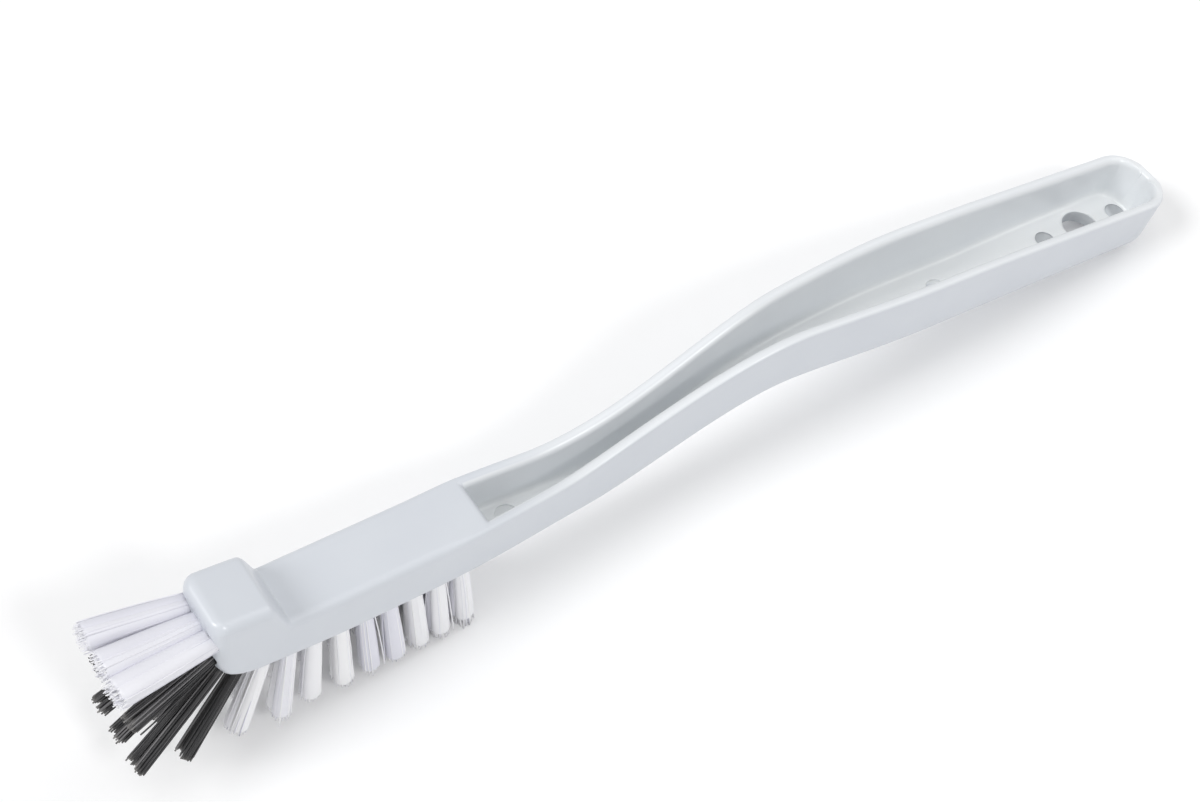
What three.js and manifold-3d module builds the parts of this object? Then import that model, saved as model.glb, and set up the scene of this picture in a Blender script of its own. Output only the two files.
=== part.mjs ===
// Dish brush: a one-piece moulded handle with a channel open on top, and 38 bristle tufts,
// each folded over a flat wire anchor in its own blind hole.
// Millimetres. The brush is drawn in its own frame (x from nose to handle end, y across, z up from
// the underside of the head) and then tipped so that it stands on its rear tufts and handle end.
import * as THREE from "three";
import { mergeVertices } from "three/addons/utils/BufferGeometryUtils.js";
import Module from "manifold-3d";

// Handle moulding, overall
const LENGTH = 278;              // nose to handle end
const HEAD_WIDTH = 16.4;
const HEAD_HEIGHT = 14.4;
const EDGE_RADIUS = 1.2;         // rounded edges of head and rim
const UNDER_EDGE_RADIUS = 1.0;   // edges along the underside of the head
const CORNER_STEPS = 3;
const CORNER_LIMIT = 0.9;        // largest corner radius, as a share of the half width

// Raised block at the nose
const NOSE_HEIGHT = 22.2;
const NOSE_FRONT_LIFT = 1.0;     // how much the top of the block rises to its front
const NOSE_LENGTH = 12.6;
const NOSE_STEP_LENGTH = 4.2;    // rear face with its fillets
const NOSE_STEP_SWEEP = 1.6;     // makes that face steep on top and long at its foot
const NOSE_UNDER_RADIUS = 10;    // rounded lower front corner
const NOSE_TOP_RADIUS = 3.2;
const NOSE_PLAN_RADIUS = 3.8;    // upright front corners
const NOSE_EDGE_RADIUS = 2.4;    // edges along the top of the block

// Handle side view
const TOP_RISE_START = 83;       // S-bend, upper edge
const TOP_RISE_END = 153;
const TOP_RISE = 20.4;
const UNDER_RISE_START = 95;     // S-bend, lower edge
const UNDER_RISE_END = 151;
const UNDER_RISE = 16.4;
const CREST = 150.5;             // behind it the grip slopes down again
const TOP_DROP_SLOPE = 0.116;
const TOP_DROP_BLEND = 74;
const UNDER_DROP_SLOPE = 0.07;
const UNDER_DROP_BLEND = 16;

// Handle plan view
const NECK_WIDTH = 11;
const NECK_START = 53;
const NECK_PLACE = 108;
const GRIP_WIDTH = 20.4;
const GRIP_PLACE = 194;
const GRIP_EDGE_RADIUS = 5;      // round underside of the grip
const END_PLAN_RADIUS = 9;
const END_EDGE_RADIUS = 4.5;
const STATION_STEP = 6;          // spacing of the handle's cross sections
const ARC_STEPS = 8;

// Channel in the handle
const WALL = 2.4;
const FLOOR = 2.4;
const CHANNEL_START = 67;
const CHANNEL_CORNER_RADIUS = 2.2;
const CUT_MARGIN = 3;            // how far a cutting body stands past the surface it opens

// Hang hole through the channel floor, and round ejector marks on that floor
const HANG_HOLE_DIAMETER = 10;
const HANG_HOLE_FROM_END = 20;
const MARK_DIAMETER = 5.6;
const MARK_DEPTH = 0.4;
const MARK_PLACES = [77, 155, 205];
const MARK_TO_HANG_HOLE = 13.7;  // one more mark on each side of the hole
const ROUND_SIDES = 20;

// Tufts: rows follow the underside of the head and run up round the nose
const ROW_PITCH = 6.15;
const ROW_ANGLES = [-2, 24, 40, 55, 71, 85, 91, 96, 99, 100, 99, 98, 98]; // degrees below straight ahead
const ROW_COUNT = ROW_ANGLES.length; // side columns; the middle column has one row less
const MIDDLE_STAGGER = 0.5;      // of a pitch, for the middle column behind the black rows
const COLUMN_PITCH = 4.8;
const FIRST_ROW_HEIGHT = 16.8;   // on the nose front
const BLACK_ROWS = [1, 2, 3];    // counted from the first row
const LAST_BLACK_ROW = BLACK_ROWS[BLACK_ROWS.length - 1];
const SIDE_SPLAY = 7;            // degrees, outward lean of the side columns
const FAN_LENGTHS = [24.6, 24.8, 29.2, 25.5]; // bristle length outside the head, rows of the fan
const TUFT_LENGTH = 22.4;        // and of the rows behind it
const TUFT_BASE_RADIUS = 1.2;
const TUFT_TIP_HALF_WIDTH = 2.9; // across the head
const TUFT_TIP_HALF_DEPTH = 2.3; // along the head
const STRANDS_PER_TUFT = 9;
const STRAND_RADIUS = 0.33;
const STRAND_TIP_RADIUS = 0.26;
const TIP_RAGGEDNESS = 1.6;
const TIP_TRIM = 0.5;            // flat left on the tips that the brush stands on

// Tuft seats in the head
const HOLE_DIAMETER = 3.6;
const HOLE_DEPTH = 5;
const HOLE_SIDES = 6;
const CLEARANCE = 0.3;
const BACKING = 2.0;             // slice of the head's skin that each bristle field brings with it
const BACKING_HALF_WIDTH = 6;
const BACKING_ROW_REACH = 2.6;   // how far the slice runs past its first and last rows
const STRAND_SINK = 0.8;         // strands start this deep in the slice

// Wire anchors, one in each hole
const ANCHOR_BITE = 0.35;        // how far each end cuts into the hole wall
const ANCHOR_WIDTH = 1.4;
const ANCHOR_THICKNESS = 0.4;
const ANCHOR_DEPTH = 3.5;        // centre of the anchor below the surface

const wasm = await Module();
wasm.setup();

const { degToRad, lerp, smoothstep } = THREE.MathUtils;

function solid(geometry) {
  const bare = geometry.clone();
  bare.deleteAttribute("normal");
  bare.deleteAttribute("uv");
  const merged = mergeVertices(bare, 1e-5);
  return new wasm.Manifold(new wasm.Mesh({
    numProp: 3,
    vertProperties: new Float32Array(merged.attributes.position.array),
    triVerts: new Uint32Array(merged.index.array),
  }));
}

function geometryOf(body) {
  const mesh = body.getMesh();
  const geometry = new THREE.BufferGeometry();
  geometry.setAttribute("position", new THREE.BufferAttribute(mesh.vertProperties, 3));
  geometry.setIndex(new THREE.BufferAttribute(mesh.triVerts, 1));
  geometry.computeVertexNormals();
  return geometry;
}

function joined(geometries) {
  return wasm.Manifold.union(geometries.map(solid));
}

// How far a rounded corner of this radius has fallen away at a distance before its end
function roundFall(distanceToEnd, radius) {
  const inside = Math.max(0, radius - distanceToEnd);
  return radius - Math.sqrt(Math.max(0, radius * radius - inside * inside));
}

// Straight slope that starts gently: curved over the blend, straight after it
function easedRun(x, start, blend) {
  const run = Math.max(0, x - start);
  return run < blend ? (run * run) / (2 * blend) : run - blend / 2;
}

// One on the nose block, nought behind its rear face
function noseShare(x) {
  return Math.pow(1 - smoothstep(x, NOSE_LENGTH, NOSE_LENGTH + NOSE_STEP_LENGTH), NOSE_STEP_SWEEP);
}

function handleTop(x) {
  const lift = NOSE_FRONT_LIFT * Math.max(0, 1 - x / NOSE_LENGTH);
  const nose = (NOSE_HEIGHT - HEAD_HEIGHT) * noseShare(x) + lift;
  const bend = TOP_RISE * smoothstep(x, TOP_RISE_START, TOP_RISE_END);
  return HEAD_HEIGHT + nose + bend - TOP_DROP_SLOPE * easedRun(x, CREST, TOP_DROP_BLEND);
}

function handleUnder(x) {
  const bend = UNDER_RISE * smoothstep(x, UNDER_RISE_START, UNDER_RISE_END);
  return bend - UNDER_DROP_SLOPE * easedRun(x, CREST, UNDER_DROP_BLEND);
}

function handleWidth(x) {
  const neck = lerp(HEAD_WIDTH, NECK_WIDTH, smoothstep(x, NECK_START, NECK_PLACE));
  return lerp(neck, GRIP_WIDTH, smoothstep(x, NECK_PLACE, GRIP_PLACE));
}

// A cross section: a rectangle in the plane at x with its own lower and upper corner radius
function section(x, halfWidth, low, high, lowRadius, highRadius) {
  const corners = [
    { y: halfWidth, z: low, radius: lowRadius, turn: -90 },
    { y: halfWidth, z: high, radius: highRadius, turn: 0 },
    { y: -halfWidth, z: high, radius: highRadius, turn: 90 },
    { y: -halfWidth, z: low, radius: lowRadius, turn: 180 },
  ];
  const ring = [];
  for (const { y, z, radius, turn } of corners) {
    const steps = radius > 0 ? CORNER_STEPS : 0;
    const centreY = y - Math.sign(y) * radius;
    const centreZ = z + (z === low ? radius : -radius);
    for (let i = 0; i <= steps; i += 1) {
      const angle = degToRad(turn + (steps ? (90 * i) / steps : 45));
      ring.push(new THREE.Vector3(x, centreY + radius * Math.cos(angle), centreZ + radius * Math.sin(angle)));
    }
  }
  return ring;
}

// Closed body through a row of cross sections that all have the same number of points
function loft(rings) {
  const count = rings[0].length;
  const points = rings.flat();
  const faces = [];
  for (let r = 0; r + 1 < rings.length; r += 1) {
    for (let i = 0; i < count; i += 1) {
      const next = (i + 1) % count;
      const [a, b] = [r * count + i, r * count + next];
      const [c, d] = [a + count, b + count];
      faces.push(a, b, c, b, d, c);
    }
  }
  const last = (rings.length - 1) * count;
  for (let i = 1; i + 1 < count; i += 1) {
    faces.push(0, i + 1, i);
    faces.push(last, last + i, last + i + 1);
  }
  const geometry = new THREE.BufferGeometry().setFromPoints(points);
  geometry.setIndex(faces);
  return geometry;
}

// Places of the cross sections: closer together round the ends and the nose step
function stations(start, end, rounds) {
  const places = new Set([start, end]);
  const steps = Math.ceil((end - start) / STATION_STEP);
  for (let i = 1; i < steps; i += 1) {
    places.add(start + ((end - start) * i) / steps);
  }
  for (const { from, to } of rounds) {
    for (let i = 0; i <= ARC_STEPS; i += 1) {
      places.add(lerp(from, to, 1 - Math.cos((Math.PI / 2) * (i / ARC_STEPS))));
    }
  }
  const sorted = [...places].sort((a, b) => a - b);
  const closest = EDGE_RADIUS / ARC_STEPS;
  const apart = (x, i) => x - sorted[i - 1] > closest && end - x > closest / 2;
  return sorted.filter((x, i) => i === 0 || x === end || apart(x, i));
}

function mouldingSection(x) {
  const front = x;
  const rear = LENGTH - x;
  const endFall = roundFall(rear, END_EDGE_RADIUS);
  const cornerFall = roundFall(front, NOSE_PLAN_RADIUS) + roundFall(rear, END_PLAN_RADIUS);
  const halfWidth = handleWidth(x) / 2 - cornerFall;
  const low = handleUnder(x) + roundFall(front, NOSE_UNDER_RADIUS) + endFall;
  const high = handleTop(x) - roundFall(front, NOSE_TOP_RADIUS) - roundFall(rear, EDGE_RADIUS);
  const lowRadius = lerp(UNDER_EDGE_RADIUS, GRIP_EDGE_RADIUS, smoothstep(x, CHANNEL_START, GRIP_PLACE));
  const highRadius = lerp(EDGE_RADIUS, NOSE_EDGE_RADIUS, noseShare(x));
  return section(x, halfWidth, low, high, Math.min(lowRadius, halfWidth * CORNER_LIMIT), highRadius);
}

function mouldingBody() {
  const places = stations(0, LENGTH, [
    { from: 0, to: NOSE_UNDER_RADIUS },
    { from: LENGTH, to: LENGTH - END_PLAN_RADIUS },
    { from: NOSE_LENGTH, to: NOSE_LENGTH + NOSE_STEP_LENGTH },
  ]);
  return loft(places.map(mouldingSection));
}

function channelBody() {
  const end = LENGTH - WALL;
  const planRadius = END_PLAN_RADIUS - WALL;
  const places = stations(CHANNEL_START, end, [{ from: end, to: end - planRadius }]);
  return loft(places.map((x) => {
    const halfWidth = handleWidth(x) / 2 - WALL - roundFall(end - x, planRadius);
    const low = handleUnder(x) + FLOOR;
    const corner = Math.min(CHANNEL_CORNER_RADIUS, halfWidth * CORNER_LIMIT);
    return section(x, halfWidth, low, handleTop(x) + CUT_MARGIN, corner, 0);
  }));
}

function uprightCylinder(x, low, high, diameter) {
  const geometry = new THREE.CylinderGeometry(diameter / 2, diameter / 2, high - low, ROUND_SIDES);
  geometry.rotateX(Math.PI / 2);
  geometry.translate(x, 0, (low + high) / 2);
  return geometry;
}

const HANG_HOLE_PLACE = LENGTH - HANG_HOLE_FROM_END;

function hangHoleBody() {
  const low = handleUnder(HANG_HOLE_PLACE) - CUT_MARGIN;
  const high = handleUnder(HANG_HOLE_PLACE) + FLOOR + CUT_MARGIN;
  return uprightCylinder(HANG_HOLE_PLACE, low, high, HANG_HOLE_DIAMETER);
}

function floorMarkBodies() {
  const byHole = [-MARK_TO_HANG_HOLE, MARK_TO_HANG_HOLE].map((shift) => HANG_HOLE_PLACE + shift);
  return [...MARK_PLACES, ...byHole].map((x) => {
    const floor = handleUnder(x) + FLOOR;
    return uprightCylinder(x, floor - MARK_DEPTH, floor + CUT_MARGIN, MARK_DIAMETER);
  });
}

// The line that the tufts follow, measured by its run s: underside for s < 0, then the rounded corner
// of the nose, then up the nose front. Depth is measured into the head.
const NOSE_ARC = (NOSE_UNDER_RADIUS * Math.PI) / 2;
const FIRST_ROW_RUN = NOSE_ARC + FIRST_ROW_HEIGHT - NOSE_UNDER_RADIUS;

function headLine(run, depth) {
  const r = NOSE_UNDER_RADIUS;
  if (run < 0) return new THREE.Vector2(r - run, depth);
  if (run > NOSE_ARC) return new THREE.Vector2(depth, r + run - NOSE_ARC);
  const angle = run / r;
  return new THREE.Vector2(r - (r - depth) * Math.sin(angle), r - (r - depth) * Math.cos(angle));
}

function headBand(runFrom, runTo, depthFrom, depthTo, yFrom, yTo) {
  const runs = [runFrom];
  for (let i = 0; i <= ARC_STEPS; i += 1) {
    const run = (NOSE_ARC * i) / ARC_STEPS;
    if (run > runFrom && run < runTo) runs.push(run);
  }
  runs.push(runTo);
  const outer = runs.map((run) => headLine(run, depthFrom));
  const inner = runs.map((run) => headLine(run, depthTo)).reverse();
  const shape = new THREE.Shape([...outer, ...inner]);
  const geometry = new THREE.ExtrudeGeometry(shape, { depth: yTo - yFrom, bevelEnabled: false });
  geometry.rotateX(Math.PI / 2);
  geometry.translate(0, yTo, 0);
  return geometry;
}

// One tuft: where its foot sits on the head, which way it points and how long it is
function tuftAt(column, row) {
  const stagger = column === 0 && row > LAST_BLACK_ROW ? MIDDLE_STAGGER : 0;
  const run = FIRST_ROW_RUN - (row + stagger) * ROW_PITCH;
  const foot = headLine(run, 0);
  const nextAngle = ROW_ANGLES[Math.min(row + 1, ROW_COUNT - 1)];
  const angle = degToRad(lerp(ROW_ANGLES[row], nextAngle, stagger));
  const length = row < FAN_LENGTHS.length ? FAN_LENGTHS[row] : TUFT_LENGTH;
  const splay = degToRad(SIDE_SPLAY * column);
  const ahead = new THREE.Vector3(-Math.cos(angle), 0, -Math.sin(angle));
  const direction = ahead.multiplyScalar(Math.cos(splay)).add(new THREE.Vector3(0, Math.sin(splay), 0));
  const place = new THREE.Vector3(foot.x, column * COLUMN_PITCH, foot.y);
  return { column, row, run, foot: place, direction, length };
}

function allTufts() {
  const tufts = [];
  for (const column of [-1, 0, 1]) {
    const rows = column === 0 ? ROW_COUNT - 1 : ROW_COUNT;
    for (let row = 0; row < rows; row += 1) tufts.push(tuftAt(column, row));
  }
  return tufts;
}

// Axes of a tuft's seat: along the tuft, across the head for the anchor, and square to both
function seatMatrix(tuft, depth) {
  const along = tuft.direction;
  const side = new THREE.Vector3().crossVectors(new THREE.Vector3(0, 1, 0), along).normalize();
  const across = new THREE.Vector3().crossVectors(along, side);
  const place = tuft.foot.clone().addScaledVector(along, -depth);
  return new THREE.Matrix4().makeBasis(across, along, side).setPosition(place);
}

// Round bar in a tuft's seat between two depths below the surface
function seatBar(tuft, depthFrom, depthTo, diameter) {
  const geometry = new THREE.CylinderGeometry(diameter / 2, diameter / 2, depthTo - depthFrom, HOLE_SIDES);
  return geometry.applyMatrix4(seatMatrix(tuft, (depthFrom + depthTo) / 2));
}

function anchorBox(tuft, spare) {
  const length = HOLE_DIAMETER + 2 * (ANCHOR_BITE + spare);
  const box = new THREE.BoxGeometry(length, ANCHOR_WIDTH + 2 * spare, ANCHOR_THICKNESS + 2 * spare);
  return box.applyMatrix4(seatMatrix(tuft, ANCHOR_DEPTH));
}

// One straight three-sided strand of a tuft; strands spread evenly from foot to tip, so none cross
function strand(tuft, index) {
  const spread = Math.sqrt((index + 0.5) / STRANDS_PER_TUFT);
  const goldenTurn = index * Math.PI * (3 - Math.sqrt(5));
  const turn = tuft.column < 0 ? Math.PI - goldenTurn : goldenTurn;
  const shorter = TIP_RAGGEDNESS * ((index * 7 + tuft.row * 3) % STRANDS_PER_TUFT) / STRANDS_PER_TUFT;
  const at = (out) => {
    const halfWidth = lerp(TUFT_BASE_RADIUS, TUFT_TIP_HALF_WIDTH, out / tuft.length);
    const halfDepth = lerp(TUFT_BASE_RADIUS, TUFT_TIP_HALF_DEPTH, out / tuft.length);
    return new THREE.Vector3(halfWidth * spread * Math.cos(turn), out, halfDepth * spread * Math.sin(turn));
  };
  const [from, to] = [at(-STRAND_SINK), at(tuft.length - shorter)];
  const along = to.clone().sub(from);
  const geometry = new THREE.CylinderGeometry(STRAND_TIP_RADIUS, STRAND_RADIUS, along.length(), 3);
  const up = new THREE.Vector3(0, 1, 0);
  geometry.applyQuaternion(new THREE.Quaternion().setFromUnitVectors(up, along.normalize()));
  geometry.translate(...from.add(to).multiplyScalar(0.5));
  return geometry.applyMatrix4(seatMatrix(tuft, 0));
}

// Slice of the head's skin under some rows
function backing(rows, spare) {
  const runs = rows.map((row) => tuftAt(1, row).run);
  const from = Math.min(...runs) - BACKING_ROW_REACH - spare;
  const to = Math.max(...runs) + BACKING_ROW_REACH + spare;
  const outside = spare > 0 ? -CUT_MARGIN : 0;
  const reach = BACKING_HALF_WIDTH + spare;
  return solid(headBand(from, to, outside, BACKING + spare, -reach, reach));
}

// Floor line that the brush stands on: through the rear tips and under the rounded handle end
const rearTuft = tuftAt(1, ROW_COUNT - 1);
const rearTip = rearTuft.foot.clone().addScaledVector(rearTuft.direction, rearTuft.length);
const standX = rearTip.x;
const standZ = rearTip.z + TIP_TRIM;
const endCentreX = LENGTH - END_EDGE_RADIUS;
const endCentreZ = handleUnder(endCentreX) + END_EDGE_RADIUS;
const standToEnd = Math.hypot(endCentreX - standX, endCentreZ - standZ);
const lineToCentre = Math.atan2(endCentreZ - standZ, endCentreX - standX);
const TIP_ANGLE = lineToCentre - Math.asin(END_EDGE_RADIUS / standToEnd);

function belowFloor() {
  const block = new THREE.BoxGeometry(2 * LENGTH, 4 * GRIP_WIDTH, 2 * TUFT_LENGTH);
  block.translate(0, 0, -TUFT_LENGTH);
  block.rotateY(-TIP_ANGLE);
  block.translate(standX, 0, standZ);
  return solid(block);
}

const tufts = allTufts();
const everyRow = Array.from({ length: ROW_COUNT }, (_, row) => row);
const noseRows = everyRow.filter((row) => row < BLACK_ROWS[0]);
const underRows = everyRow.filter((row) => row > LAST_BLACK_ROW);

function handleGeometry() {
  const cuts = [channelBody(), hangHoleBody(), ...floorMarkBodies()];
  for (const tuft of tufts) {
    cuts.push(seatBar(tuft, 0, HOLE_DEPTH, HOLE_DIAMETER));
    cuts.push(anchorBox(tuft, CLEARANCE));
  }
  const recess = backing(everyRow, CLEARANCE);
  return geometryOf(solid(mouldingBody()).subtract(joined(cuts).add(recess)));
}

function bristleGeometry(rows) {
  const field = tufts.filter((tuft) => rows.includes(tuft.row));
  const [barEnd, barDiameter] = [HOLE_DEPTH - CLEARANCE, HOLE_DIAMETER - 2 * CLEARANCE];
  const bars = field.map((tuft) => seatBar(tuft, BACKING / 2, barEnd, barDiameter));
  const strands = field.flatMap((tuft) => {
    return Array.from({ length: STRANDS_PER_TUFT }, (_, index) => strand(tuft, index));
  });
  const windows = field.map((tuft) => anchorBox(tuft, CLEARANCE));
  const body = joined([...bars, ...strands]).add(backing(rows, 0)).subtract(joined(windows));
  return geometryOf(body.subtract(belowFloor()));
}

const plastic = new THREE.MeshStandardMaterial({ color: 0xd9dee0, roughness: 0.42, metalness: 0 });
const whiteNylon = new THREE.MeshStandardMaterial({ color: 0xf1f3f6, roughness: 0.5, metalness: 0 });
const blackNylon = new THREE.MeshStandardMaterial({ color: 0x2b2b2d, roughness: 0.45, metalness: 0 });
const wire = new THREE.MeshStandardMaterial({ color: 0xb9bcc0, roughness: 0.3, metalness: 1 });

function mesh(name, geometry, material) {
  const piece = new THREE.Mesh(geometry, material.clone());
  piece.name = name;
  return piece;
}

const brush = new THREE.Group();
brush.add(mesh("handle", handleGeometry(), plastic));
brush.add(mesh("nose_white_bristles", bristleGeometry(noseRows), whiteNylon));
brush.add(mesh("black_bristles", bristleGeometry(BLACK_ROWS), blackNylon));
brush.add(mesh("white_bristles", bristleGeometry(underRows), whiteNylon));
const columnNames = { "-1": "near", 0: "middle", 1: "far" };
for (const tuft of tufts) {
  const name = `anchor_${columnNames[tuft.column]}_${String(tuft.row + 1).padStart(2, "0")}`;
  brush.add(mesh(name, anchorBox(tuft, 0), wire));
}

// Tip the brush onto its rear tufts and handle end, with the origin under the middle of its box
brush.rotation.y = TIP_ANGLE;
const box = new THREE.Box3().setFromObject(brush, true);
brush.position.set(-(box.min.x + box.max.x) / 2, 0, -box.min.z);

const dishBrush = new THREE.Group();
dishBrush.add(brush);

export default dishBrush;
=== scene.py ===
"""Dish brush: a one-piece moulded handle, 38 bristle tufts and the wire anchors that hold them.

The brush is drawn in millimetres in its own frame (x from nose to handle end, y across, z up from the
underside of the head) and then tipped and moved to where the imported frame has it.
"""
import math

import bmesh
import bpy
import numpy as np
from mathutils import Matrix, Vector


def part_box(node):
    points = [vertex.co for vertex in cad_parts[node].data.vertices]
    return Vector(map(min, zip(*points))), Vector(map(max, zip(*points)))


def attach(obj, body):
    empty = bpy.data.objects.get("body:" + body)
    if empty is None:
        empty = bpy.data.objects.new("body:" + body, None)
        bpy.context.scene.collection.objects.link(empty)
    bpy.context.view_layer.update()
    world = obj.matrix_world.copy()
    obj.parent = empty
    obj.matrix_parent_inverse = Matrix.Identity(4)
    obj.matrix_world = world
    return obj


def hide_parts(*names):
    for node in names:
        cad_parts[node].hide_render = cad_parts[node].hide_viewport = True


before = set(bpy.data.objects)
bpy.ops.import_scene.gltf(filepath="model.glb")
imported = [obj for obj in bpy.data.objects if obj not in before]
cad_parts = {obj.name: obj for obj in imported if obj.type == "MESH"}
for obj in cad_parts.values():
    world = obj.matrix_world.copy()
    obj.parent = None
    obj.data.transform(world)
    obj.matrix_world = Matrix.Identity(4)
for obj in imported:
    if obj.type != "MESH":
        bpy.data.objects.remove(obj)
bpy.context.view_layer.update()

METRES = 0.001
TINY = 1e-9
ALONG, ACROSS, UP = np.eye(3)

# Handle moulding
LENGTH = 278
HEAD_WIDTH = 16.4
HEAD_HEIGHT = 14.4
TILT = math.radians(8.116)
EDGE_RADIUS = 0.8
HEAD_EDGE_RADIUS = 2.0
UNDER_EDGE_RADIUS = 1.0
NOSE_HEIGHT = 22.8
NOSE_FRONT_LIFT = 1.6
NOSE_LENGTH = 11.3
NOSE_STEP_LENGTH = 5.4
NOSE_STEP_SWEEP = 0.8
NOSE_LEAN = 1.2
NOSE_LEAN_REACH = 9
NOSE_UNDER_RADIUS = 10
NOSE_TOP_RADIUS = 2.6
NOSE_PLAN_RADIUS = 3.2
NOSE_EDGE_RADIUS = 2.4
NOSE_UNDER_EDGE_RADIUS = 4.0
NOSE_UNDER_EDGE_END = 34
TOP_RISE_START, TOP_RISE_END, TOP_RISE = 83, 153, 20.4
UNDER_RISE_START, UNDER_RISE_END, UNDER_RISE = 95, 151, 16.4
CREST = 150.5
TOP_DROP_SLOPE, TOP_DROP_BLEND = 0.116, 74
UNDER_DROP_SLOPE, UNDER_DROP_BLEND = 0.07, 16
NECK_WIDTH, NECK_START, NECK_PLACE = 11, 53, 108
GRIP_WIDTH, GRIP_PLACE = 20.4, 194
GRIP_EDGE_RADIUS = 5
END_PLAN_RADIUS = 9
END_EDGE_RADIUS = 4.5
END_SLANT = 0.15
END_SLANT_REACH = 16
FULLEST_ROUND = 0.9  # share of a half width that a rounded edge takes at most

# Channel, its hole and its marks
WALL = 2.4
FLOOR = 2.4
END_FLOOR = 4.2
END_FLOOR_START, END_FLOOR_PLACE = 205, 250
CHANNEL_START = 67
CHANNEL_END = LENGTH - WALL
CHANNEL_PLAN_RADIUS = END_PLAN_RADIUS - WALL
CHANNEL_LIP = 1.8
LIP_SHARE = 0.4  # share of the half width inside the outer edge that the lip takes at most
LIP_ROOM = 1.15  # room for the lip inside the outer edge, in lips
CHANNEL_FILLET = 1.2
END_FILLET = 0.7
END_LIP_HALF_WIDTH = 5
END_LIP_PASSES = 6
WALL_DRAFT = 0.15
HANG_HOLE_DIAMETER = 10
HANG_HOLE_PLACE = LENGTH - 20
HANG_HOLE_LIP = 0.6
HANG_HOLE_RUN_ON = 0.5
MARK_DIAMETER = 5.6
MARK_DEPTH = 0.4
MARK_LIP = 0.25
MARK_RUN_ON = 0.4
MARK_PLACES = (77, 155, 205)
MARK_TO_HANG_HOLE = 13.7

# Painted light and shade on the moulding, from nought to one: how much of the channel floor's painted light
# its walls get, how strong the painted highlight on the rim is, over what stretch that highlight comes on,
# and how dark the painted shade in the bore and the faint marks is beside a plain mark
WALL_PAINTED_LIGHT = 0.62
RIM_PAINTED_HIGHLIGHT = 0.5
RIM_HIGHLIGHT_FADE = 25
BORE_PAINTED_SHADE = 0.7
FAINT_MARK_SHADE = 0.12

# Room left in telling which points lie in the channel, on its walls, in the bore and at a mark's bottom
NEAR = 0.1
NEAR_WALL = 0.3
MARK_BOTTOM = 0.05

# Fineness of the handle's mesh
STATION_STEP = 1.2
STATION_GAP = 0.02
NOSE_STEP_STATIONS = 15
CORNER_STEPS = 7
FLAT_STEPS = 6
ROUND_SIDES = 40
LIP_TURN, LIP_RINGS = 60, 5
WELD = 2e-7
CREASE = math.radians(38)

# Tufts
ROW_PITCH = 6.15
ROW_ANGLES = (-2, 20, 43, 55.5, 71, 84, 89, 93, 96, 97, 96, 95, 95)
ROW_COUNT = len(ROW_ANGLES)
MIDDLE_STAGGER = 0.5
COLUMN_PITCH = 4.8
FIRST_ROW_HEIGHT = 16.8
BLACK_ROWS = (1, 2, 3)
LAST_BLACK_ROW = BLACK_ROWS[-1]
SIDE_SPLAY = 7
FIRST_ROW_SPLAY = 6.5
FAN_LENGTHS = (23.6, 21.8, 28.4, 25.2)
TUFT_LENGTH = 22.4
SOCKET_DIAMETER = 4.2
FRONT_SOCKET_DIAMETER = 5.0
SOCKET_DEPTH = 3.4
SOCKET_LIP = 0.3
SOCKET_RUN_ON = 0.6

# Filaments and packed lobes: places of their rings as shares of the length, and their random spreads
FILAMENT_SIDES = 6
FILAMENT_RINGS = (-0.1, 0.12, 0.4, 0.7, 0.9, 1.0)
CORE_SIDES = 20
CORE_RINGS = (-0.1, 0.12, 0.4, 0.7, 0.92, 0.945)
CORE_END = 0.9
LOBE_DEEP = 0.95
FLARE = 0.6
GOLDEN_TURN = 3 - math.sqrt(5)  # in half turns
EDGE_CROWDING = 0.4
DISC_REACH = 0.98
PLACE_SPREAD = 0.03
TUFT_LEAN = 0.2
LOBE_LEAN = 0.2
TIP_SPREAD = 0.12
TIP_RAGGEDNESS = 1.8
RAGGED_SHAPE = (1.5, 2.5)
BOW = 0.1
STRAY_SHARE = 0.04
STRAY_SPREAD = 1.35
SEED = 20

# Bundles: number and radius of the filaments, half sizes across and along the head at foot and tip,
# the share of each lobe that its packed middle fills, how far the lobes part at the tip, and how far
# from the tuft's middle each lobe lies
NOSE_BUNDLE = {"count": 110, "radius": 0.14, "foot": (2.4, 2.35), "tip": (3.4, 2.9), "core": 1.0,
               "gap": 0.0, "split": 0.28}
BLACK_BUNDLE = {"count": 58, "radius": 0.2, "foot": (1.45, 1.4), "tip": (2.0, 1.7), "core": 0.6,
                "gap": 0.35, "split": 0.45}
UNDER_BUNDLE = {"count": 100, "radius": 0.15, "foot": (1.8, 1.8), "tip": (2.8, 2.4), "core": 1.0,
                "gap": 0.15, "split": 0.32}

# Mottled tones: scale of the noise and the two tones that it goes between, over the middle of its range
MOTTLE_RANGE = (0.3, 0.7)
MOTTLE_DETAIL = 3.0
PLASTIC_OUTSIDE = (60, (0.615, 0.645, 0.695), (0.64, 0.67, 0.715))
# Lighter tone of the painted light in the channel and the painted highlight on its rim
PLASTIC_PAINTED_LIGHT = (60, (0.83, 0.85, 0.86), (0.855, 0.875, 0.88))
# Darker tone of the painted shade in the bore and in the marks' hollows
PLASTIC_PAINTED_SHADE = (400, (0.40, 0.42, 0.44), (0.48, 0.50, 0.52))
PLASTIC_GLOSS = (900, (0.3, 0.3, 0.3), (0.36, 0.36, 0.36))
PLASTIC_GLOSS_DETAIL = 4.0
PLASTIC_SPECULAR = 0.9
GRAIN_SCALE, GRAIN_DETAIL = 1500, 2.0
GRAIN_STRENGTH, GRAIN_DEPTH = 0.05, 0.00002
STEEL_TONE = (3000, (0.52, 0.53, 0.55), (0.68, 0.69, 0.7))
STEEL_GLOSS = (1500, (0.25, 0.25, 0.25), (0.4, 0.4, 0.4))
STAGE_TONE = (2, (0.935, 0.937, 0.942), (0.95, 0.952, 0.957))
STAGE_ROUGHNESS = 0.9
STAGE_LIFT = 0.06
STAGE_REACH = 6.0

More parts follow.
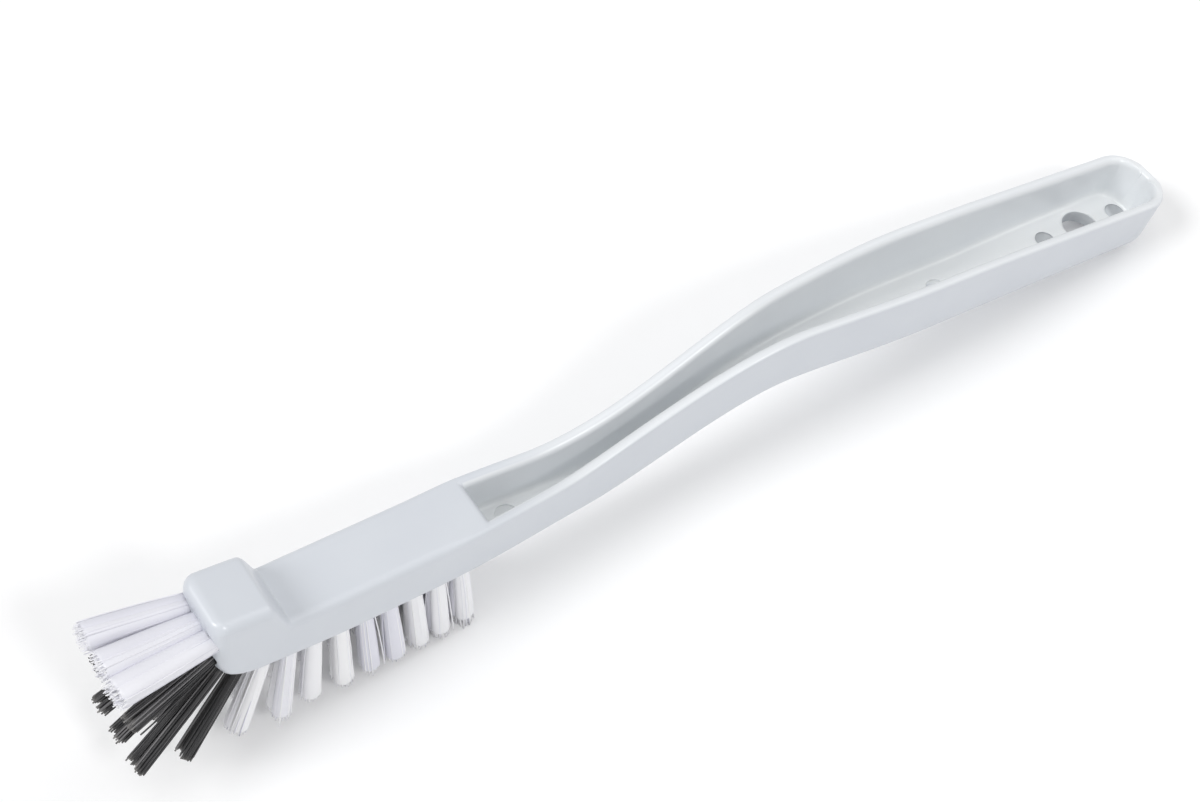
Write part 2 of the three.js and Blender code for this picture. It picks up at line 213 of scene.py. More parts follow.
# Nylon: shades from filament to filament and shades of the cut tips, each by its place from nought to
# one, roughness, and the share of the light that comes through
TIP_START = 0.95
WHITE_TIPS = ((0.0, (0.35, 0.35, 0.38)), (0.12, (0.85, 0.85, 0.9)), (1.0, (0.96, 0.96, 0.97)))
WHITE_NYLON = {
    "shades": ((0.0, (0.78, 0.78, 0.87)), (0.35, (0.94, 0.94, 0.97)), (1.0, (0.985, 0.985, 0.99))),
    "tips": WHITE_TIPS, "roughness": 0.5, "through": 0.03}
# Copy of the white nylon for the nose tufts, painted darker: painted shade that offsets the stronger light
# on their upward faces
WHITE_NYLON_PAINTED_SHADE = {
    "shades": ((0.0, (0.70, 0.70, 0.77)), (0.5, (0.83, 0.83, 0.88)), (1.0, (0.90, 0.90, 0.93))),
    "tips": WHITE_TIPS, "roughness": 0.5, "through": 0.03}
BLACK_NYLON = {
    "shades": ((0.0, (0.016, 0.016, 0.018)), (0.6, (0.035, 0.034, 0.036)), (1.0, (0.19, 0.185, 0.19))),
    "tips": ((0.0, (0.03, 0.03, 0.03)), (1.0, (0.28, 0.27, 0.26))), "roughness": 0.34, "through": 0.04}

# Camera: direction and roll in degrees, distance, and shift to its right and up, for a picture of this width
PICTURE_WIDTH = 1200
CAMERA_AZIMUTH = 39.67
CAMERA_ELEVATION = 56.57
CAMERA_ROLL = 6.475
CAMERA_DISTANCE = 483.3
CAMERA_ASIDE, CAMERA_ABOVE = -19.695, 15.06
FOCAL_PIXELS = 1976.1
SENSOR_WIDTH = 36
CLIP_START = 0.01

# Light: strength of the surroundings; name, strength, width in degrees and direction of each lamp
WORLD_STRENGTH = 0.46
LIGHTS = (("key", 1.3, 24, (-0.70, 0.18, 0.69)), ("side", 0.4, 40, (0.75, -0.10, 0.65)),
          ("above", 0.3, 30, (-0.10, 0.10, 0.99)), ("front", 0.65, 12, (0.12, -0.66, 0.74)))


def smoothstep(x, low, high):
    share = np.clip((x - low) / (high - low), 0, 1)
    return share * share * (3 - 2 * share)


def lerp(a, b, share):
    return a + (b - a) * share


def round_fall(distance_to_end, radius):
    """How far a rounded corner of this radius has fallen away at a distance before its end."""
    inside = np.maximum(0, radius - distance_to_end)
    return radius - np.sqrt(np.maximum(0, radius * radius - inside * inside))


def eased_run(x, start, blend):
    """Straight slope that starts gently: curved over the blend, straight after it."""
    run = np.maximum(0, x - start)
    return np.where(run < blend, run * run / (2 * blend), run - blend / 2)


def nose_share(x):
    return (1 - smoothstep(x, NOSE_LENGTH, NOSE_LENGTH + NOSE_STEP_LENGTH)) ** NOSE_STEP_SWEEP


def handle_top(x):
    lift = NOSE_FRONT_LIFT * np.maximum(0, 1 - x / NOSE_LENGTH)
    nose = (NOSE_HEIGHT - HEAD_HEIGHT) * nose_share(x) + lift
    bend = TOP_RISE * smoothstep(x, TOP_RISE_START, TOP_RISE_END)
    return HEAD_HEIGHT + nose + bend - TOP_DROP_SLOPE * eased_run(x, CREST, TOP_DROP_BLEND)


def handle_under(x):
    bend = UNDER_RISE * smoothstep(x, UNDER_RISE_START, UNDER_RISE_END)
    return bend - UNDER_DROP_SLOPE * eased_run(x, CREST, UNDER_DROP_BLEND)


def handle_width(x):
    neck = lerp(HEAD_WIDTH, NECK_WIDTH, smoothstep(x, NECK_START, NECK_PLACE))
    return lerp(neck, GRIP_WIDTH, smoothstep(x, NECK_PLACE, GRIP_PLACE))


def floor_top(x):
    return handle_under(x) + lerp(FLOOR, END_FLOOR, smoothstep(x, END_FLOOR_START, END_FLOOR_PLACE))


def channel_depth(x, full):
    """Depth of the channel's middle at x: nought outside, a rounded lip, a steep end wall, a fillet."""
    into = min(x - CHANNEL_START, CHANNEL_END - x)
    if into <= 0:
        return float(round_fall(-into, CHANNEL_LIP))
    return full - float(round_fall(into, END_FILLET))


def arc(centre, radius, start, end):
    angles = np.radians(np.linspace(start, end, CORNER_STEPS + 1))
    return [(centre[0] + radius * math.cos(a), centre[1] + radius * math.sin(a)) for a in angles]


def between(start, end, steps):
    """Points of a straight stretch without its two ends."""
    return [tuple(lerp(np.array(start), np.array(end), i / steps)) for i in range(1, steps)]


def half_section(x):
    """Half a cross section at x, from the middle of the underside over the rim to the channel floor."""
    front, rear = x, LENGTH - x
    half = handle_width(x) / 2 - round_fall(front, NOSE_PLAN_RADIUS) - round_fall(rear, END_PLAN_RADIUS)
    low = handle_under(x) + round_fall(front, NOSE_UNDER_RADIUS) + round_fall(rear, END_EDGE_RADIUS)
    high = handle_top(x) - round_fall(front, NOSE_TOP_RADIUS) - round_fall(rear, EDGE_RADIUS)
    low_radius = lerp(UNDER_EDGE_RADIUS, GRIP_EDGE_RADIUS, smoothstep(x, CHANNEL_START, GRIP_PLACE))
    low_radius = lerp(NOSE_UNDER_EDGE_RADIUS, low_radius, smoothstep(x, 0, NOSE_UNDER_EDGE_END))
    low_radius = min(low_radius, half * FULLEST_ROUND)
    high_radius = lerp(HEAD_EDGE_RADIUS, EDGE_RADIUS, smoothstep(x, NECK_START, CHANNEL_START))
    high_radius = lerp(high_radius, NOSE_EDGE_RADIUS, nose_share(x))
    flat = half - high_radius
    lip = min(CHANNEL_LIP, flat * LIP_SHARE)
    inner = handle_width(x) / 2 - WALL - round_fall(max(0, CHANNEL_END - x), CHANNEL_PLAN_RADIUS)
    inner = min(inner, flat - LIP_ROOM * lip)
    floor = floor_top(x)
    fillet = min(CHANNEL_FILLET, inner * FULLEST_ROUND)

    points = [(0.0, low)] + between((0, low), (half - low_radius, low), FLAT_STEPS)
    points += arc((half - low_radius, low + low_radius), low_radius, -90, 0)
    points += between((half, low + low_radius), (half, high - high_radius), FLAT_STEPS)
    points += arc((half - high_radius, high - high_radius), high_radius, 0, 90)
    rim_end = len(points)
    points += arc((inner + lip, high - lip), lip, 90, 180)
    points += between((inner, high - lip), (inner, floor + fillet), FLAT_STEPS)
    points += arc((inner - fillet, floor + fillet), fillet, 0, -90)
    points += between((inner - fillet, floor), (0, floor), FLAT_STEPS) + [(0.0, floor)]
    points = np.array(points, float)
    lowest = high - channel_depth(x, high - floor)
    points[rim_end:, 1] = np.maximum(points[rim_end:, 1], lowest)
    return points


def close_stretches():
    """Rounded stretches along the handle: where each starts, where it ends, and its number of steps."""
    stretches = [(0, NOSE_UNDER_RADIUS, 20), (0, NOSE_PLAN_RADIUS, 12),
                 (LENGTH, LENGTH - END_PLAN_RADIUS, 28), (LENGTH, LENGTH - EDGE_RADIUS, 8),
                 (CHANNEL_END, CHANNEL_END - CHANNEL_PLAN_RADIUS, 24)]
    for wall, inward in ((CHANNEL_START, 1), (CHANNEL_END, -1)):
        stretches.append((wall, wall - inward * CHANNEL_LIP, 6))
        stretches.append((wall + inward * WALL_DRAFT, wall + inward * END_FILLET, 4))
    return stretches


def stations():
    """Places of the cross sections: close together round the ends, the nose step and the channel's ends."""
    places = set(np.linspace(0, LENGTH, round(LENGTH / STATION_STEP) + 1))
    places.update(np.linspace(NOSE_LENGTH, NOSE_LENGTH + NOSE_STEP_LENGTH, NOSE_STEP_STATIONS))
    for start, end, steps in close_stretches():
        places.update(start + (end - start) * (1 - np.cos(np.linspace(0, math.pi / 2, steps + 1))))
    kept = []
    for x in sorted(places):
        if not kept or x - kept[-1] > STATION_GAP or x == LENGTH:
            kept.append(float(x))
    return kept


def handle_rings():
    """Cross sections of the whole handle: (section, point, xyz)."""
    rings = []
    for x in stations():
        half = half_section(x)
        far = half[-2:0:-1] * np.array([-1, 1])
        ring = np.vstack([half, far])
        rings.append(np.column_stack([np.full(len(ring), x), ring]))
    return softened_end(np.array(rings))


def softened_end(rings):
    """Evens the lip in the middle of the channel's end wall, where the round corners meet it."""
    x, y, z = (rings[..., i] for i in range(3))
    lip = (x > CHANNEL_END - NEAR) & (x < LENGTH - EDGE_RADIUS) & (np.abs(y) < END_LIP_HALF_WIDTH)
    lip &= z > handle_top(x) - CHANNEL_LIP
    for _ in range(END_LIP_PASSES):
        around = [np.roll(z, step, axis) for step in (-1, 1) for axis in (0, 1)]
        z = np.where(lip, sum(around) / len(around), z)
    return np.stack([x, y, z], axis=-1)


def leaned(points):
    """Nose front that leans ahead toward its top, and handle end that leans back toward its top."""
    x, y, z = points.T
    front = 1 - smoothstep(x, 0, NOSE_LEAN_REACH)
    rear = smoothstep(x, LENGTH - END_SLANT_REACH, LENGTH)
    middle = (handle_top(x) + handle_under(x)) / 2
    moved = x - NOSE_LEAN * front * smoothstep(z, 0, NOSE_HEIGHT) + END_SLANT * rear * (z - middle)
    return np.column_stack([moved, y, z])


def tipped(points, matrix):
    """Points of the brush's own frame, in millimetres, as points of the part's frame, in metres."""
    points = np.asarray(points, float)
    turned = points @ np.array(matrix.to_3x3()).T + np.array(matrix.translation)
    return turned * METRES


def brush_place(handle_points):
    """Matrix from the brush's frame to the part's, in millimetres: the handle's end lies as in the part."""
    turn = Matrix.Rotation(TILT, 4, "Y")
    turned = handle_points @ np.array(turn.to_3x3()).T
    low, high = (np.array(corner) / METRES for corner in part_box("handle"))
    own_low, own_high = turned.min(0), turned.max(0)
    shift = ((high - own_high)[0], (low + high - own_low - own_high)[1] / 2, (low - own_low)[2])
    return Matrix.Translation(Vector(shift)) @ turn


def ring_faces(ring_count, ring_size):
    """Faces of a tube of rings with both ends closed."""
    faces = []
    for r in range(ring_count - 1):
        for i in range(ring_size):
            a, b = r * ring_size + i, r * ring_size + (i + 1) % ring_size
            faces.append((a, b, b + ring_size, a + ring_size))
    faces.append(tuple(reversed(range(ring_size))))
    faces.append(tuple(range((ring_count - 1) * ring_size, ring_count * ring_size)))
    return faces


def new_object(name, points, faces, material):
    mesh = bpy.data.meshes.new(name)
    mesh.from_pydata([tuple(p) for p in points], [], faces)
    mesh.materials.append(material)
    piece = bpy.data.objects.new(name, mesh)
    bpy.context.scene.collection.objects.link(piece)
    return piece


def set_values(mesh, name, values):
    attribute = mesh.attributes.new(name, "FLOAT", "POINT")
    attribute.data.foreach_set("value", values.astype(np.float32))


def face_out(mesh):
    """Joins doubled points and turns all faces outward."""
    body = bmesh.new()
    body.from_mesh(mesh)
    bmesh.ops.remove_doubles(body, verts=body.verts, dist=WELD)
    bmesh.ops.recalc_face_normals(body, faces=body.faces)
    body.to_mesh(mesh)
    body.free()


def apply_modifiers(piece):
    depsgraph = bpy.context.evaluated_depsgraph_get()
    mesh = bpy.data.meshes.new_from_object(piece.evaluated_get(depsgraph))
    piece.modifiers.clear()
    old = piece.data
    piece.data = mesh
    bpy.data.meshes.remove(old)


# The line that the tufts follow, by its run: underside, rounded corner of the nose, nose front
NOSE_ARC = NOSE_UNDER_RADIUS * math.pi / 2
FIRST_ROW_RUN = NOSE_ARC + FIRST_ROW_HEIGHT - NOSE_UNDER_RADIUS


def head_line(run):
    r = NOSE_UNDER_RADIUS
    if run < 0:
        return r - run, 0.0
    if run > NOSE_ARC:
        return 0.0, r + run - NOSE_ARC
    return r - r * math.sin(run / r), r - r * math.cos(run / r)


def tuft_at(column, row):
    stagger = MIDDLE_STAGGER if column == 0 and row > LAST_BLACK_ROW else 0
    x, z = head_line(FIRST_ROW_RUN - (row + stagger) * ROW_PITCH)
    next_angle = ROW_ANGLES[min(row + 1, ROW_COUNT - 1)]
    angle = math.radians(lerp(ROW_ANGLES[row], next_angle, stagger))
    length = FAN_LENGTHS[row] if row < len(FAN_LENGTHS) else TUFT_LENGTH
    splay = math.radians((SIDE_SPLAY if row else FIRST_ROW_SPLAY) * column)
    ahead = np.array([-math.cos(angle), 0, -math.sin(angle)])
    direction = ahead * math.cos(splay) + ACROSS * math.sin(splay)
    side = np.cross(ACROSS, direction)
    side /= np.linalg.norm(side)
    return {"column": column, "row": row, "foot": np.array([x, column * COLUMN_PITCH, z]), "length": length,
            "along": direction, "side": side, "across": np.cross(direction, side)}


def all_tufts():
    """Three columns of tufts; the staggered middle one has one row less."""
    return [tuft_at(column, row) for column in (-1, 0, 1) for row in range(ROW_COUNT - (column == 0))]


def turned_cutter(foot, along, side, across, profile):
    """Body of revolution round a line: profile is a list of (distance along, radius)."""
    points = []
    for distance, radius in profile:
        for turn in np.linspace(0, 2 * math.pi, ROUND_SIDES, endpoint=False):
            outward = math.cos(turn) * across + math.sin(turn) * side
            points.append(foot + along * distance + radius * outward)
    return points, ring_faces(len(profile), ROUND_SIDES)


def flared(radius, low, high, lip, run_on):
    """Straight bore from low to high whose mouth at high has a rounded lip, run on past the surface."""
    turns = np.radians(np.linspace(0, LIP_TURN, LIP_RINGS))
    mouth = [(high - lip + lip * math.sin(a), radius + lip * (1 - math.cos(a))) for a in turns]
    last_distance, last_radius = mouth[-1]
    return [(low, radius)] + mouth + [(last_distance + run_on, last_radius + run_on * math.tan(turns[-1]))]


def socket_cutter(tuft):
    diameter = FRONT_SOCKET_DIAMETER if tuft["row"] == 0 and tuft["column"] else SOCKET_DIAMETER
    mouth = leaned(tuft["foot"][None])[0]
    ahead = float(np.linalg.norm(mouth - tuft["foot"]))
    profile = flared(diameter / 2, -SOCKET_DEPTH - ahead, 0.0, SOCKET_LIP, SOCKET_RUN_ON)
    return turned_cutter(mouth, tuft["along"], tuft["side"], tuft["across"], profile)


def hang_hole_cutter():
    """Bore through the channel floor with the same rounded lip above and below."""
    x = HANG_HOLE_PLACE
    thick = float(floor_top(x) - handle_under(x))
    upper = flared(HANG_HOLE_DIAMETER / 2, thick / 2, thick, HANG_HOLE_LIP, HANG_HOLE_RUN_ON)
    lower = [(thick - distance, radius) for distance, radius in reversed(upper)]
    foot = np.array([x, 0, float(handle_under(x))])
    return turned_cutter(foot, UP, ACROSS, ALONG, lower[:-1] + upper[1:])


def mark_places():
    """Places of the marks sunk in the channel floor, with how strongly painted shade darkens each one."""
    beside_hole = (HANG_HOLE_PLACE - MARK_TO_HANG_HOLE, HANG_HOLE_PLACE + MARK_TO_HANG_HOLE)
    return [(x, FAINT_MARK_SHADE) for x in MARK_PLACES] + [(x, 1.0) for x in beside_hole]


def mark_cutter(x):
    foot = np.array([x, 0, float(floor_top(x))])
    profile = flared(MARK_DIAMETER / 2, -MARK_DEPTH, 0.0, MARK_LIP, MARK_RUN_ON)
    return turned_cutter(foot, UP, ACROSS, ALONG, profile)


def joined_cutters():
    cutters = [socket_cutter(tuft) for tuft in all_tufts()] + [hang_hole_cutter()]
    cutters += [mark_cutter(x) for x, _ in mark_places()]
    points, faces = [], []
    for cutter_points, cutter_faces in cutters:
        base = len(points)
        points += cutter_points
        faces += [tuple(base + i for i in face) for face in cutter_faces]
    return points, faces


def make_handle(rings, matrix, material):
    points = tipped(leaned(rings.reshape(-1, 3)), matrix)
    piece = new_object("handle_moulding", points, ring_faces(*rings.shape[:2]), material)
    face_out(piece.data)
    cut_points, cut_faces = joined_cutters()
    cutter = new_object("cutter", tipped(cut_points, matrix), cut_faces, material)
    face_out(cutter.data)
    cut = piece.modifiers.new("holes", "BOOLEAN")
    cut.operation = "DIFFERENCE"
    cut.solver = "MANIFOLD"
    cut.object = cutter
    apply_modifiers(piece)
    bpy.data.objects.remove(cutter)
    for polygon in piece.data.polygons:
        polygon.use_smooth = True
    piece.data.set_sharp_from_angle(angle=CREASE)
    set_tones(piece.data, matrix)
    return piece


def set_tones(mesh, matrix):
    """Vertex values: painted light in the channel with a painted highlight on its rim, and painted shade in
    the marks and the bore.
    """
    back = np.array(matrix.inverted())
    points = np.array([v.co for v in mesh.vertices]) / METRES
    own = points @ back[:3, :3].T + back[:3, 3]
    x, y, z = (2 * own - leaned(own)).T
    above_floor = z - floor_top(x)
    in_channel = (x > CHANNEL_START - NEAR) & (np.abs(y) < handle_width(x) / 2 - WALL + NEAR_WALL)
    in_channel &= (above_floor > -MARK_DEPTH - NEAR) & (x < LENGTH - EDGE_RADIUS)
    rim_highlight = smoothstep(x, CHANNEL_START, CHANNEL_START + RIM_HIGHLIGHT_FADE)
    rim_highlight *= smoothstep(z, handle_top(x) - EDGE_RADIUS, handle_top(x))
    # Painted light: full on the channel's floor, less on its walls, and a painted highlight along the rim
    painted_light = in_channel * lerp(1, WALL_PAINTED_LIGHT, smoothstep(above_floor, 0, 2 * CHANNEL_FILLET))
    set_values(mesh, "painted_light", np.maximum(painted_light, RIM_PAINTED_HIGHLIGHT * rim_highlight))
    # Painted shade in the hang hole's bore and at the bottom of each mark
    painted_recess_shade = BORE_PAINTED_SHADE * (np.hypot(x - HANG_HOLE_PLACE, y) < HANG_HOLE_DIAMETER / 2 + NEAR)
    for place, strength in mark_places():
        in_mark = np.hypot(own[:, 0] - place, y) < MARK_DIAMETER / 2 + NEAR
        painted_recess_shade = np.maximum(painted_recess_shade, strength * (in_channel & in_mark & (above_floor < -MARK_BOTTOM)))
    set_values(mesh, "painted_recess_shade", painted_recess_shade)


def disc_places(count, rng):
    """Evenly spread places in a unit disc, a little disturbed."""
    index = np.arange(count)
    radius = DISC_REACH * ((index + 0.5) / count) ** EDGE_CROWDING
    turn = index * math.pi * GOLDEN_TURN + rng.uniform(0, 2 * math.pi)
    places = np.column_stack([radius * np.cos(turn), radius * np.sin(turn)])
    return places + rng.normal(0, PLACE_SPREAD, places.shape)


def on_floor(lines, radius):
    """Shortens the lines that would reach below the surface that the brush stands on."""
    first, last = lines[:, :1], lines[:, -1:]
    drop = first[..., 2:] - last[..., 2:]
    room = first[..., 2:] - radius
    share = np.where(drop > room, room / np.maximum(drop, TINY), 1.0)
    return first + (lines - first) * share


def tuft_lines(tuft, foot, tip, bow, length, rings, radius, matrix):
    """Lines from offsets at the foot to offsets at the tip: (line, ring, xyz), millimetres, part's frame."""
    lines = []
    for share in rings:
        spread = max(share, 0)
        offset = lerp(foot, tip, spread ** FLARE) + bow * math.sin(math.pi * spread)
        reach = (length * share)[:, None] * tuft["along"]
        lines.append(tuft["foot"] + reach + offset[:, :1] * tuft["across"] + offset[:, 1:] * tuft["side"])
    lines = np.stack(lines, axis=1)
    turned = lines @ np.array(matrix.to_3x3()).T + np.array(matrix.translation)
    return on_floor(turned, radius)


def lobe_tube(tuft, bundle, sign, leans, matrix):
    """Packed middle of the tuft's lobe on one side: (line, radii at each ring, sides, rings)."""
    foot_size, tip_size = np.array(bundle["foot"]), np.array(bundle["tip"])
    lobe_size = np.array([1 - bundle["split"], LOBE_DEEP])
    middle = sign * np.array([[bundle["split"], 0]])
    tip = middle * tip_size + np.array([bundle["gap"] * sign, 0])
    for lean in leans:
        tip = tip + lean
    straight, length = np.zeros((1, 2)), np.array([tuft["length"]])
    line = tuft_lines(tuft, middle * foot_size, tip, straight, length, CORE_RINGS, max(tip_size), matrix)[0]
    sizes = [lerp(foot_size, tip_size, max(share, 0) ** FLARE) for share in CORE_RINGS]
    sizes[-1] = sizes[-1] * CORE_END
    return line, np.array(sizes) * bundle["core"] * lobe_size, CORE_SIDES, CORE_RINGS


def tuft_tubes(tuft, bundle, matrix, rng):
    """Tubes of one tuft, filaments first and then its two packed lobes: (line, radii, sides, rings)."""
    count = bundle["count"]
    lobe = np.where(np.arange(count) % 2, 1, -1)[:, None]
    lobe_size = np.array([1 - bundle["split"], LOBE_DEEP])
    places = disc_places(count, rng) * lobe_size + lobe * np.array([bundle["split"], 0])
    lean = rng.normal(0, TUFT_LEAN, 2)
    lobe_leans = rng.normal(0, LOBE_LEAN, (2, 2))
    foot = places * bundle["foot"]
    tip = places * bundle["tip"]
    tip[:, :1] += lobe * bundle["gap"]
    tip *= np.where(rng.uniform(size=(count, 1)) < STRAY_SHARE, STRAY_SPREAD, 1.0)
    tip += rng.normal(0, TIP_SPREAD, tip.shape) + lean + np.where(lobe > 0, *lobe_leans)
    length = tuft["length"] - TIP_RAGGEDNESS * rng.beta(*RAGGED_SHAPE, count)
    bow = rng.normal(0, BOW, tip.shape)
    lines = tuft_lines(tuft, foot, tip, bow, length, FILAMENT_RINGS, bundle["radius"], matrix)
    radii = np.full((len(FILAMENT_RINGS), 2), bundle["radius"])
    tubes = [(line, radii, FILAMENT_SIDES, FILAMENT_RINGS) for line in lines]
    for sign, lobe_lean in zip((1, -1), lobe_leans):
        tubes.append(lobe_tube(tuft, bundle, sign, (lean, lobe_lean), matrix))
    return tubes


def filament_piece(name, tufts, bundle, matrix, rng, material):
    """All tubes of these tufts in one mesh, with each tube's shade and each ring's reach toward the tip."""
    points, faces, shades, reaches = [], [], [], []
    rotation = np.array(matrix.to_3x3())
    base = 0
    for tuft in tufts:
        across, side = rotation @ tuft["across"], rotation @ tuft["side"]
        for line, radii, sides, rings in tuft_tubes(tuft, bundle, matrix, rng):
            turns = np.linspace(0, 2 * math.pi, sides, endpoint=False)
            wide = radii[:, :1, None] * np.cos(turns)[None, :, None] * across
            deep = radii[:, 1:, None] * np.sin(turns)[None, :, None] * side
            points.append((line[:, None, :] + wide + deep).reshape(-1, 3))
            faces += [tuple(base + i for i in face) for face in ring_faces(len(rings), sides)]
            shades.append(np.full(len(rings) * sides, rng.uniform()))
            reaches.append(np.repeat(np.maximum(rings, 0), sides))
            base += len(rings) * sides
    piece = new_object(name, np.vstack(points) * METRES, faces, material)
    for polygon in piece.data.polygons:
        polygon.use_smooth = len(polygon.vertices) == 4
    set_values(piece.data, "shade", np.concatenate(shades))
    set_values(piece.data, "reach", np.concatenate(reaches))
    face_out(piece.data)
    return piece


class Nodes:
    """Short way to write a material's nodes."""

    MIX_INPUTS, MIX_RESULT = (0, 6, 7), 2  # sockets of a Mix node that mixes colours

    def __init__(self, name):
        self.material = bpy.data.materials.new(name)
        self.material.use_nodes = True
        self.tree = self.material.node_tree
        self.shader = self.tree.nodes["Principled BSDF"]

    def add(self, kind, inputs=None, **settings):
        node = self.tree.nodes.new(kind)
        for name, value in settings.items():
            setattr(node, name, value)
        for name, value in (inputs or {}).items():
            self.put(node.inputs[name], value)
        return node

    def put(self, socket, value):
        if isinstance(value, bpy.types.NodeSocket):
            self.tree.links.new(value, socket)
        else:
            socket.default_value = value

    def set(self, **inputs):
        for name, value in inputs.items():
            self.put(self.shader.inputs[name.replace("_", " ")], value)

    def ramp(self, value, stops):
        node = self.add("ShaderNodeValToRGB", {"Fac": value})
        elements = node.color_ramp.elements
        for element, (place, colour) in zip(elements, (stops[0], stops[-1])):
            element.position = place
            element.color = (*colour, 1)
        for place, colour in stops[1:-1]:
            elements.new(place).color = (*colour, 1)
        return node.outputs["Color"]

    def noise(self, scale, detail):
        place = self.add("ShaderNodeTexCoord").outputs["Object"]
        node = self.add("ShaderNodeTexNoise", {"Vector": place, "Scale": scale, "Detail": detail})
        return node.outputs["Fac"]

    def mottled(self, tone, detail=MOTTLE_DETAIL):
        scale, *ends = tone
        return self.ramp(self.noise(scale, detail), list(zip(MOTTLE_RANGE, ends)))

    def attribute(self, name):
        return self.add("ShaderNodeAttribute", attribute_name=name).outputs["Fac"]

    def mix(self, share, first, second):
        node = self.add("ShaderNodeMix", data_type="RGBA")
        for index, value in zip(self.MIX_INPUTS, (share, first, second)):
            self.put(node.inputs[index], value)
        return node.outputs[self.MIX_RESULT]

    def plus(self, first, second):
        node = self.add("ShaderNodeMath", operation="ADD")
        self.put(node.inputs[0], first)
        self.put(node.inputs[1], second)
        return node.outputs["Value"]

    def bump(self, height, strength, distance):
        node = self.add("ShaderNodeBump", {"Height": height, "Strength": strength, "Distance": distance})
        return node.outputs["Normal"]


def plastic():
    """Light grey plastic, with painted light in the channel, a painted highlight on its rim, and painted
    shade in the bore and the marks.
    """
    nodes = Nodes("moulded_plastic")
    outside, painted_light, dark = (nodes.mottled(tone) for tone in (PLASTIC_OUTSIDE, PLASTIC_PAINTED_LIGHT, PLASTIC_PAINTED_SHADE))
    gloss = nodes.mottled(PLASTIC_GLOSS, PLASTIC_GLOSS_DETAIL)
    grain = nodes.bump(nodes.noise(GRAIN_SCALE, GRAIN_DETAIL), GRAIN_STRENGTH, GRAIN_DEPTH)
    # Painted light in the channel and on its rim, then painted shade in the bore and the marks
    colour = nodes.mix(nodes.attribute("painted_light"), outside, painted_light)
    colour = nodes.mix(nodes.attribute("painted_recess_shade"), colour, dark)
    nodes.set(Base_Color=colour, Roughness=gloss, Normal=grain, Specular_IOR_Level=PLASTIC_SPECULAR)
    return nodes.material


def nylon(name, look):
    """Filaments: each has its own shade and cut tip, and lets some light through."""
    nodes = Nodes(name)
    own = nodes.ramp(nodes.attribute("shade"), look["shades"])
    cut = nodes.ramp(nodes.attribute("shade"), look["tips"])
    tip = nodes.ramp(nodes.attribute("reach"), [(TIP_START, (0, 0, 0)), (1.0, (1, 1, 1))])
    colour = nodes.mix(tip, own, cut)
    nodes.set(Base_Color=colour, Roughness=look["roughness"])
    through = nodes.add("ShaderNodeBsdfTranslucent", {"Color": colour})
    both = nodes.add("ShaderNodeMixShader", {"Fac": look["through"]})
    nodes.put(both.inputs[1], nodes.shader.outputs["BSDF"])
    nodes.put(both.inputs[2], through.outputs["BSDF"])
    nodes.put(nodes.tree.nodes["Material Output"].inputs["Surface"], both.outputs["Shader"])
    return nodes.material


def steel():
    nodes = Nodes("anchor_wire")
    nodes.set(Base_Color=nodes.mottled(STEEL_TONE), Metallic=1.0, Roughness=nodes.mottled(STEEL_GLOSS))
    return nodes.material


def make_floor():
    """Pale floor that the camera and reflections see a little lighter than the lamps make it."""
    nodes = Nodes("floor")
    path = nodes.add("ShaderNodeLightPath").outputs
    seen = nodes.plus(nodes.plus(path["Is Camera Ray"], path["Is Glossy Ray"]), path["Is Transmission Ray"])
    nodes.set(Base_Color=nodes.mottled(STAGE_TONE), Roughness=STAGE_ROUGHNESS, Specular_IOR_Level=0.0,
              Emission_Strength=seen, Emission_Color=(STAGE_LIFT, STAGE_LIFT, STAGE_LIFT, 1))
    signs = ((-1, -1), (1, -1), (1, 1), (-1, 1))
    corners = [(STAGE_REACH * x, STAGE_REACH * y, 0) for x, y in signs]
    floor = new_object("floor", corners, [(0, 1, 2, 3)], nodes.material)


def make_world():
    """Pale surroundings, which the camera and reflections see as white."""
    world = bpy.data.worlds.new("studio")
    bpy.context.scene.world = world
    world.use_nodes = True
    tree = world.node_tree
    background = tree.nodes["Background"]
    background.inputs["Color"].default_value = (1, 1, 1, 1)
    path = tree.nodes.new("ShaderNodeLightPath").outputs
    seen = path["Is Camera Ray"]
    for kind in ("Is Glossy Ray", "Is Transmission Ray"):
        both = tree.nodes.new("ShaderNodeMath")
        both.use_clamp = True
        tree.links.new(seen, both.inputs[0])
        tree.links.new(path[kind], both.inputs[1])
        seen = both.outputs["Value"]
    strength = tree.nodes.new("ShaderNodeMapRange")
    strength.inputs["To Min"].default_value = WORLD_STRENGTH
    tree.links.new(seen, strength.inputs["Value"])
    tree.links.new(strength.outputs["Result"], background.inputs["Strength"])


def make_lamps():
    for name, strength, spread, toward in LIGHTS:
        lamp = bpy.data.lights.new(name, "SUN")
        lamp.energy = strength
        lamp.angle = math.radians(spread)
        holder = bpy.data.objects.new(name, lamp)
        holder.rotation_euler = Vector(toward).to_track_quat("Z", "Y").to_euler()
        bpy.context.scene.collection.objects.link(holder)


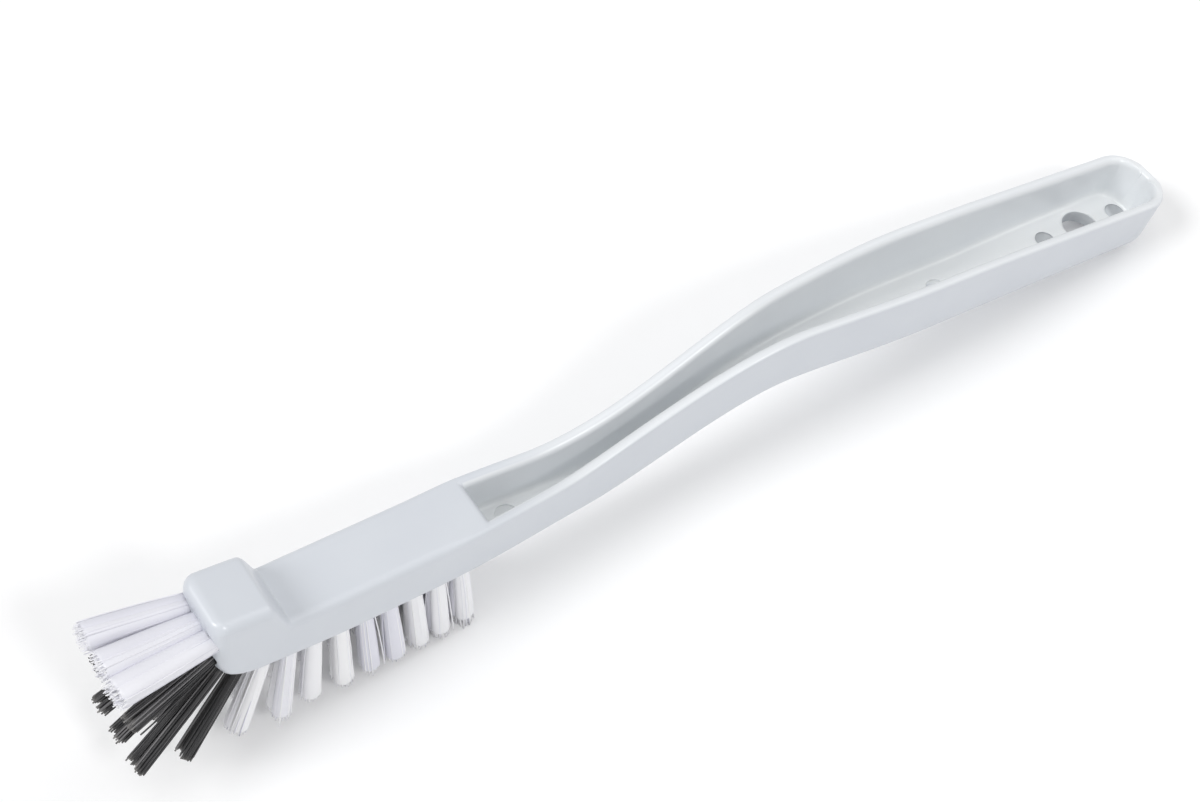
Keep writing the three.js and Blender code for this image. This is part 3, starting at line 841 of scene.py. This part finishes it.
def make_camera():
    azimuth, elevation = math.radians(CAMERA_AZIMUTH), math.radians(CAMERA_ELEVATION)
    forward = Vector((math.sin(azimuth) * math.cos(elevation), math.cos(azimuth) * math.cos(elevation),
                      -math.sin(elevation)))
    level = Vector((math.cos(azimuth), -math.sin(azimuth), 0))
    upright = level.cross(forward)
    roll = math.radians(CAMERA_ROLL)
    right = level * math.cos(roll) + upright * math.sin(roll)
    up = upright * math.cos(roll) - level * math.sin(roll)
    place = right * CAMERA_ASIDE + up * CAMERA_ABOVE - forward * CAMERA_DISTANCE
    data = bpy.data.cameras.new("camera")
    data.sensor_width = SENSOR_WIDTH
    data.lens = FOCAL_PIXELS * SENSOR_WIDTH / PICTURE_WIDTH
    data.clip_start = CLIP_START
    camera = bpy.data.objects.new("camera", data)
    axes = Matrix((right, up, -forward)).transposed().to_4x4()
    camera.matrix_world = Matrix.Translation(place * METRES) @ axes
    bpy.context.scene.collection.objects.link(camera)
    bpy.context.scene.camera = camera


def dress(piece, slot, *nodes):
    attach(piece, "root")
    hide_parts(*nodes)


def make_brush():
    rings = handle_rings()
    place = brush_place(rings.reshape(-1, 3))
    dress(make_handle(rings, place, plastic()), "handle_plastic", "handle")
    rng = np.random.default_rng(SEED)
    # Darker copy of the white nylon for the nose tufts, as painted shade
    nose_white = nylon("nose_nylon_painted_shade", WHITE_NYLON_PAINTED_SHADE)
    black = nylon("black_nylon", BLACK_NYLON)
    white = nylon("white_nylon", WHITE_NYLON)
    nose_rows = range(BLACK_ROWS[0])
    under_rows = range(LAST_BLACK_ROW + 1, ROW_COUNT)
    fields = (("nose_white_tufts", "nose_white_bristles", "white_nylon", NOSE_BUNDLE, nose_white, nose_rows),
              ("black_tufts", "black_bristles", "black_nylon", BLACK_BUNDLE, black, BLACK_ROWS),
              ("white_tufts", "white_bristles", "white_nylon", UNDER_BUNDLE, white, under_rows))
    for name, node, slot, bundle, material, rows in fields:
        tufts = [tuft for tuft in all_tufts() if tuft["row"] in rows]
        dress(filament_piece(name, tufts, bundle, place, rng, material), slot, node)
    wire = steel()
    for name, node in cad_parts.items():
        if name.startswith("anchor_"):
            node.data.materials.clear()
            node.data.materials.append(wire)


make_brush()
make_floor()
make_world()
make_lamps()
make_camera()
bpy.context.scene.view_settings.view_transform = "Standard"
